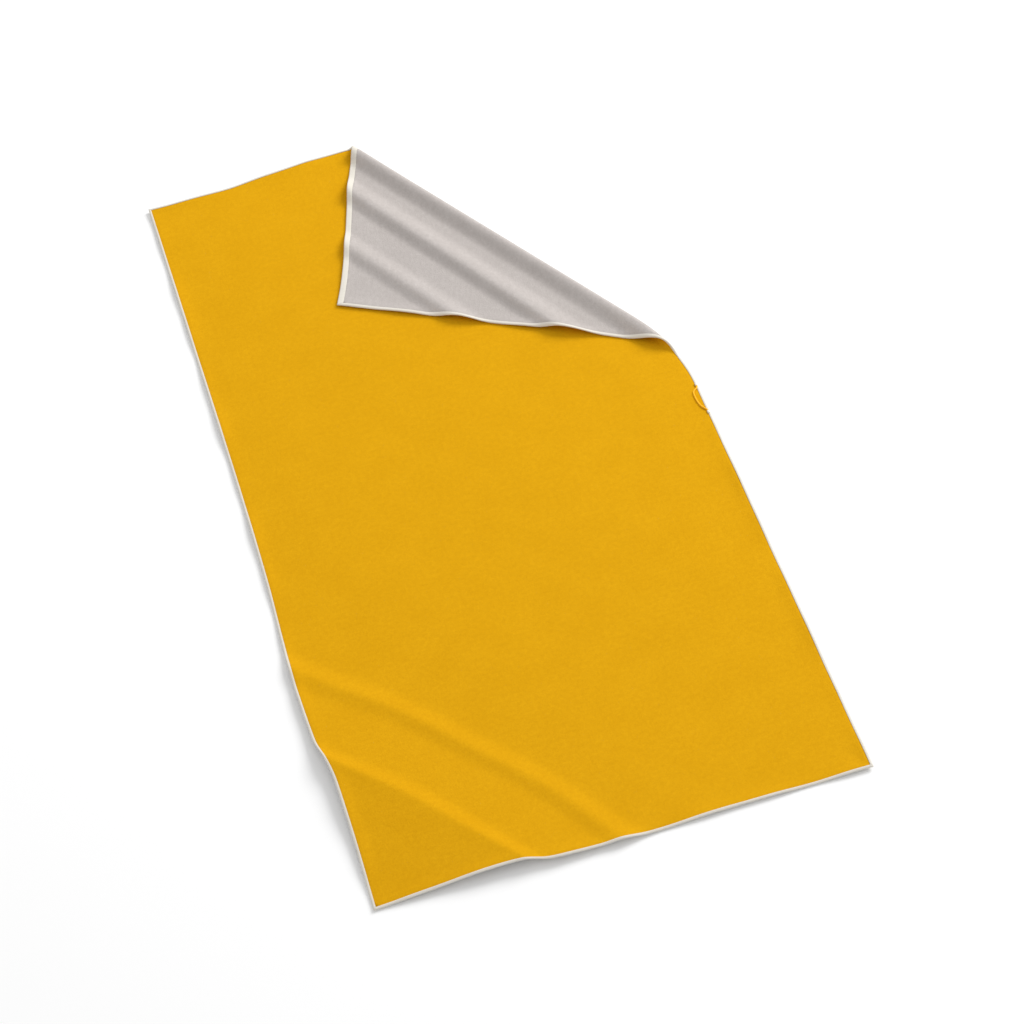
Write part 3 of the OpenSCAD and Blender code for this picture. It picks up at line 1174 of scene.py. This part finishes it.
def stitch_tree() -> NodeTree:
    """Build the Geometry Nodes tree that sets a stitch at every step along a line.

    Returns:
        The tree, with inputs for the pitch, the stitch and its seed.
    """
    sizes = {"Stitch Length": "Float", "Thread Width": "Float"}
    tree, given, steps = start_tree("stitches_along_line", sizes)
    ball = add_node(tree, "GeometryNodeMeshUVSphere", inputs={"Segments": 6, "Rings": 5, "Radius": 0.5})
    size = add_node(tree, "ShaderNodeCombineXYZ", links={"X": given["Stitch Length"],
                                                         "Y": given["Thread Width"],
                                                         "Z": given["Thread Width"]})
    stitch = add_node(tree, "GeometryNodeTransform",
                      links={"Geometry": ball.outputs["Mesh"], "Scale": size.outputs[0]})
    tangent = add_node(tree, "GeometryNodeInputTangent")
    up = add_node(tree, "GeometryNodeInputNamedAttribute", {"data_type": "FLOAT_VECTOR"}, {"Name": "up"})
    turn = add_node(tree, "FunctionNodeAlignRotationToVector", {"axis": "X"},
                    links={"Vector": tangent.outputs[0]})
    turn = add_node(tree, "FunctionNodeAlignRotationToVector", {"axis": "Z", "pivot_axis": "X"},
                    links={"Rotation": turn.outputs[0], "Vector": up.outputs["Attribute"]})
    wobble = add_node(tree, "FunctionNodeRandomValue", {"data_type": "FLOAT_VECTOR"},
                      {0: (-0.01, -0.03, -0.05), 1: (0.01, 0.03, 0.05)}, {"Seed": given["Seed"]})
    askew = add_node(tree, "FunctionNodeEulerToRotation", links={0: wobble.outputs[0]})
    turn = add_node(tree, "FunctionNodeRotateRotation", {"rotation_space": "LOCAL"},
                    links={0: turn.outputs[0], 1: askew.outputs[0]})
    vary = add_node(tree, "FunctionNodeRandomValue", {"data_type": "FLOAT"}, {2: 0.93, 3: 1.07},
                    {"Seed": given["Seed"]})
    many = add_node(tree, "GeometryNodeInstanceOnPoints",
                    links={"Points": steps, "Instance": stitch.outputs[0],
                           "Rotation": turn.outputs[0], "Scale": vary.outputs[1]})
    return end_tree(tree, given, many.outputs[0])


# ---- The hanging loop ----

@dataclass
class HangingLoop:
    """A short loop of braided cord, held at each end by a bar tack on the tape."""

    cord_finish: Material
    tack_finish: Material
    pivot: Array
    edge_x: float
    tape_top: float
    cord_d: float = 3.0
    span: float = 62.0
    tack_length: float = 5.0
    tack_foot: tuple[float, float] = (0.2, 2.4)
    wall: float = 0.2
    foot_rise: float = 0.3
    wrap_size: tuple[float, float] = (0.34, 0.24)
    wrap_pitch: float = 0.5
    strands: int = 4
    sides: int = 24
    ring_step: float = 0.28
    braid_pitch: float = 7.0
    braid_depth: float = 0.07
    # The cord's middle line: inwards, along the edge, and up from the tacks' height
    route: tuple[tuple[float, float, float], ...] = (
        (0, 30.5, 0), (0, 29, 0), (0.6, 26.8, 0), (2.2, 24.6, 0), (4.6, 22.8, 0), (7, 21, -0.1),
        (9, 18.6, -0.2), (10, 15.4, -0.3), (10.4, 11, -0.3), (10.4, 6, -0.3), (10.2, 1, -0.3),
        (9.8, -4, -0.3), (9, -9, -0.3), (7.8, -14, -0.2), (6, -18.6, -0.1), (3.6, -22.6, 0),
        (1.4, -25.6, 0), (0.2, -28.4, 0), (0, -30.5, 0))

    def path(self) -> Array:
        """Points of the route in the towel's frame, in millimetres."""
        return self.pivot + np.array(self.route) * np.array([-1, 1, 1])

    def centreline(self) -> Array:
        """Smooth the route into closely spaced points.

        Returns:
            Points on the smooth curve through the route, in millimetres.
        """
        path = self.path()
        steps = np.linalg.norm(np.diff(path, axis=0), axis=1)
        knots = np.concatenate([[0], np.cumsum(steps)])
        slopes = np.gradient(path, knots, axis=0)
        slopes[0] = slopes[-1] = np.array([0.0, -1.0, 0.0])
        at = np.linspace(0, knots[-1], int(knots[-1] / self.ring_step) + 1)
        k = np.clip(np.searchsorted(knots, at, side="right") - 1, 0, len(path) - 2)
        h = steps[k][:, None]
        t = ((at - knots[k])[:, None]) / h
        return ((2 * t ** 3 - 3 * t ** 2 + 1) * path[k] + (t ** 3 - 2 * t ** 2 + t) * h * slopes[k]
                + (3 * t ** 2 - 2 * t ** 3) * path[k + 1] + (t ** 3 - t ** 2) * h * slopes[k + 1])

    def tube(self, line: Array, name: str) -> Piece:
        """Sweep a braided cord along a line.

        Args:
            line: Closely spaced points, in millimetres.
            name: The object's name.

        Returns:
            The cord as a closed mesh.
        """
        way = unit(np.gradient(line, axis=0))
        side = unit(np.cross(way, [0, 0, 1.0]))
        up = np.cross(side, way)
        run = np.concatenate([[0], np.cumsum(np.linalg.norm(np.diff(line, axis=0), axis=1))])
        angle = np.arange(self.sides) * 2 * math.pi / self.sides
        twist = 2 * math.pi * run[:, None] / self.braid_pitch
        over = np.cos(self.strands * angle + twist)
        under = np.cos(self.strands * angle - twist)
        radius = self.cord_d / 2 * (1 - self.braid_depth + self.braid_depth * np.maximum(over, under))
        ring = side[:, None] * np.cos(angle)[:, None] + up[:, None] * np.sin(angle)[:, None]
        points = (line[:, None] + ring * radius[..., None]).reshape(-1, 3)
        number = np.arange(len(points)).reshape(len(line), self.sides)
        uv = np.stack(np.broadcast_arrays(run[:, None] * MM, angle * self.cord_d / 2 * MM), -1)
        return make_piece(name, points * MM, skin(number[:, ::-1]), points[:, :2], uv.reshape(-1, 2))

    def build_cord(self) -> Piece:
        """Returns:
            The cord.
        """
        cord = self.tube(self.centreline(), "hanging_cord")
        dress(cord, self.cord_finish)
        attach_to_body(cord, "hanging_loop")
        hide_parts("loop_cord")
        return cord

    def wrap(self) -> Piece:
        """Make one stitch that passes over the cord and down to the tape on both sides.

        Returns:
            The stitch as a closed mesh.
        """
        turn = np.radians(np.linspace(-20, 200, 13))
        over = np.stack([np.cos(turn), np.zeros(13), np.sin(turn)], -1) * (self.cord_d / 2 + self.wall)
        foot = self.tape_top + self.foot_rise
        ends = [np.array([[self.edge_x - inset, 0, foot]]) for inset in self.tack_foot]
        line = np.concatenate([ends[0], over + self.pivot * [1, 0, 1], ends[1]])
        side = np.array([0, 1.0, 0])
        out = np.cross(unit(np.gradient(line, axis=0)), side)
        angle = np.arange(6) * math.pi / 3
        wide, deep = self.wrap_size
        ring = side * np.cos(angle)[:, None] * wide + out[:, None] * np.sin(angle)[:, None] * deep
        points = (line[:, None] + ring).reshape(-1, 3)
        faces = skin(np.arange(len(points)).reshape(-1, 6))
        return make_piece("tack_wrap", points * MM, faces, points[:, :2], points[:, :2] * MM)

    def build_tack(self, name: str, side: int, tree: NodeTree) -> Piece:
        """Build one bar tack: the cord's end, wound over with satin stitches.

        Args:
            name: The tack's name.
            side: 1 for the upper one and -1 for the lower one.
            tree: The Geometry Nodes tree that winds stitches along a line.

        Returns:
            The tack as one piece.
        """
        start = self.pivot[1] + side * (self.span / 2 - 0.3)
        end = self.pivot[1] + side * (self.span / 2 + self.tack_length)
        mesh = bpy.data.meshes.new("tack_line")
        mesh.from_pydata([(0, start * MM, 0), (0, end * MM, 0)], [(0, 1)], [])
        wrap = self.wrap()
        sizes = {"Pitch": self.wrap_pitch * MM, "Wrap": wrap, "Seed": 3, "Material": self.tack_finish}
        wound = apply_nodes(put_in_scene("tack_line", mesh), tree, sizes)
        bpy.data.objects.remove(wrap)
        steps = np.linspace(start + side * 0.3, end - side * 0.2, 20)
        core = np.stack([np.full(20, self.pivot[0]), steps, np.full(20, self.pivot[2])], -1)
        piece = joined(name, [wound, self.tube(core, "tack_core")])
        dress(piece, self.tack_finish)
        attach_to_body(piece, "towel")
        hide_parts(name.replace("_satin_tack", "_bar_tack"))
        LOG.info("%s: %d points", name, len(piece.data.vertices))
        return piece


def winding_tree() -> NodeTree:
    """Build the Geometry Nodes tree that sets one wound stitch after another along a line.

    Returns:
        The tree, with inputs for the pitch, the stitch and its seed.
    """
    tree, given, steps = start_tree("stitches_wound_along_line", {"Wrap": "Object"})
    wrap = add_node(tree, "GeometryNodeObjectInfo", links={"Object": given["Wrap"]})
    vary = add_node(tree, "FunctionNodeRandomValue", {"data_type": "FLOAT_VECTOR"},
                    {0: (0, -0.01, -0.02), 1: (0, 0.01, 0.02)}, {"Seed": given["Seed"]})
    small = add_node(tree, "ShaderNodeVectorMath", {"operation": "SCALE"}, {"Scale": 3 * MM},
                     {0: vary.outputs[0]})
    many = add_node(tree, "GeometryNodeInstanceOnPoints",
                    links={"Points": steps, "Instance": wrap.outputs["Geometry"]})
    moved = add_node(tree, "GeometryNodeTranslateInstances",
                     links={"Instances": many.outputs[0], "Translation": small.outputs[0]})
    return end_tree(tree, given, moved.outputs[0])


# ---- Studio ----

@dataclass(frozen=True)
class Studio:
    """The camera, the floor and the soft light."""

    azimuth: float = 11.668
    elevation: float = 49.674
    distance: float = 5.357
    roll: float = 6.303
    lens: float = 113.11
    aim: tuple[float, float] = (0.021, -0.1136)
    floor_drop: float = 0.3
    floor_size: float = 30.0
    key_power: float = 525.0
    key_size: float = 4.0
    key_distance: float = 8.0
    key_azimuth: float = 31.0
    key_elevation: float = 33.0
    sky: float = 0.72

    def build_camera(self) -> None:
        """Set the camera above the towel's lower end, a little to the left."""
        camera = put_in_scene("camera", bpy.data.cameras.new("camera"))
        camera.data.lens = self.lens
        camera.data.sensor_width = 36
        camera.data.clip_end = 100
        turn, rise, roll = (math.radians(a) for a in (self.azimuth, self.elevation, -self.roll))
        ahead = Vector((math.sin(turn) * math.cos(rise), math.cos(turn) * math.cos(rise), -math.sin(rise)))
        level = Vector((math.cos(turn), -math.sin(turn), 0))
        above = level.cross(ahead)
        right = level * math.cos(roll) + above * math.sin(roll)
        up = above * math.cos(roll) - level * math.sin(roll)
        place = Vector((*self.aim, 0)) - ahead * self.distance
        axes = Matrix((right, up, -ahead)).transposed()
        camera.matrix_world = Matrix.Translation(place) @ axes.to_4x4()
        bpy.context.scene.camera = camera

    def build_floor(self) -> None:
        """Lay the pale floor just under the towel."""
        half, drop = self.floor_size / 2, -self.floor_drop * MM
        mesh = bpy.data.meshes.new("floor")
        corners = [(-half, -half, drop), (half, -half, drop), (half, half, drop), (-half, half, drop)]
        mesh.from_pydata(corners, [], [(0, 1, 2, 3)])
        mesh.materials.append(MattBoard("painted matt board", "#fafafa").build())
        put_in_scene("floor", mesh)

    def build_light(self) -> None:
        """Light the towel from the upper right with one soft lamp and an even sky."""
        scene = bpy.context.scene
        scene.view_settings.view_transform = "Standard"
        scene.world = bpy.data.worlds.new("studio")
        scene.world.use_nodes = True
        back = scene.world.node_tree.nodes["Background"]
        back.inputs["Color"].default_value = (1, 1, 1, 1)
        back.inputs["Strength"].default_value = self.sky
        lamp = put_in_scene("key", bpy.data.lights.new("key", "AREA"))
        lamp.data.shape = "DISK"
        lamp.data.size = self.key_size
        lamp.data.energy = self.key_power
        turn, rise = math.radians(self.key_azimuth), math.radians(self.key_elevation)
        towards = Vector((math.cos(turn) * math.cos(rise), math.sin(turn) * math.cos(rise), math.sin(rise)))
        lamp.location = towards * self.key_distance
        lamp.rotation_euler = towards.to_track_quat("Z", "Y").to_euler()


# ---- The whole towel ----

def joint(name: str) -> dict[str, Any]:
    """Look up one of the frame's joints by name."""
    return next(j for j in frame["joints"] if j["name"] == name)


def read_drape() -> Drape:
    """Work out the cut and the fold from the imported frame.

    Returns:
        How the towel lies.
    """
    low, high = (np.array(corner) / MM for corner in CAD_BOX)
    hinge = joint("corner_fold")
    along = -np.array(hinge["axis"][:2])
    along /= np.linalg.norm(along)
    across = np.array([-along[1], along[0]])
    roll_r = (high[2] - low[2]) / 2
    fold_start = np.array(hinge["pos_m"][:2]) / MM - across * roll_r
    return Drape(Cut(high[0] - low[0], high[1] - low[1]), fold_start, along, across, roll_r)


def main() -> None:
    """Build the studio and the towel, piece by piece."""
    logging.basicConfig(level=logging.INFO, format="%(name)s: %(message)s")
    studio = Studio()
    studio.build_camera()
    drape = read_drape()
    cord = SpunThread("braided polyester cord", "#ffc22c", "#f3b01d").build()
    tack = SpunThread("satin stitched thread", "#f1eee6", "#ddd9cf").build()
    pivot = np.array(joint("loop_swing")["pos_m"]) / MM
    loop = HangingLoop(cord, tack, pivot, drape.cut.width / 2, drape.cut.thickness)
    loop.build_cord()
    winding = winding_tree()
    loop.build_tack("upper_satin_tack", 1, winding)
    loop.build_tack("lower_satin_tack", -1, winding)
    yellow = BrushedMicrofibre("brushed microfibre, yellow", "#dea412", "#c98f0c", "#e2a814").build()
    grey = BrushedMicrofibre("brushed microfibre, grey", "#bfb8b4", "#a39c97", "#c4bdb9").build()
    face, back = (Cloth(f"{side}_sheet", (f"{side}_cloth", f"corner_{side}_cloth"), f"{side}_cloth",
                        finish, drape, side == "face").build()
                  for side, finish in (("face", yellow), ("back", grey)))
    tape = WovenTape("woven binding tape", "#e1dcd2", "#cdc7bb").build()
    thread = SpunThread("spun sewing thread", "#f3f0e8", "#e2ded4").build()
    tree = stitch_tree()
    trims = []
    for edge in Edge:
        bound = BoundEdge(edge, drape, tape, thread)
        trims += [bound.build_tape(), bound.build_stitches(tree)]
    studio.build_floor()
    studio.build_light()


if __name__ == "__main__":
    main()
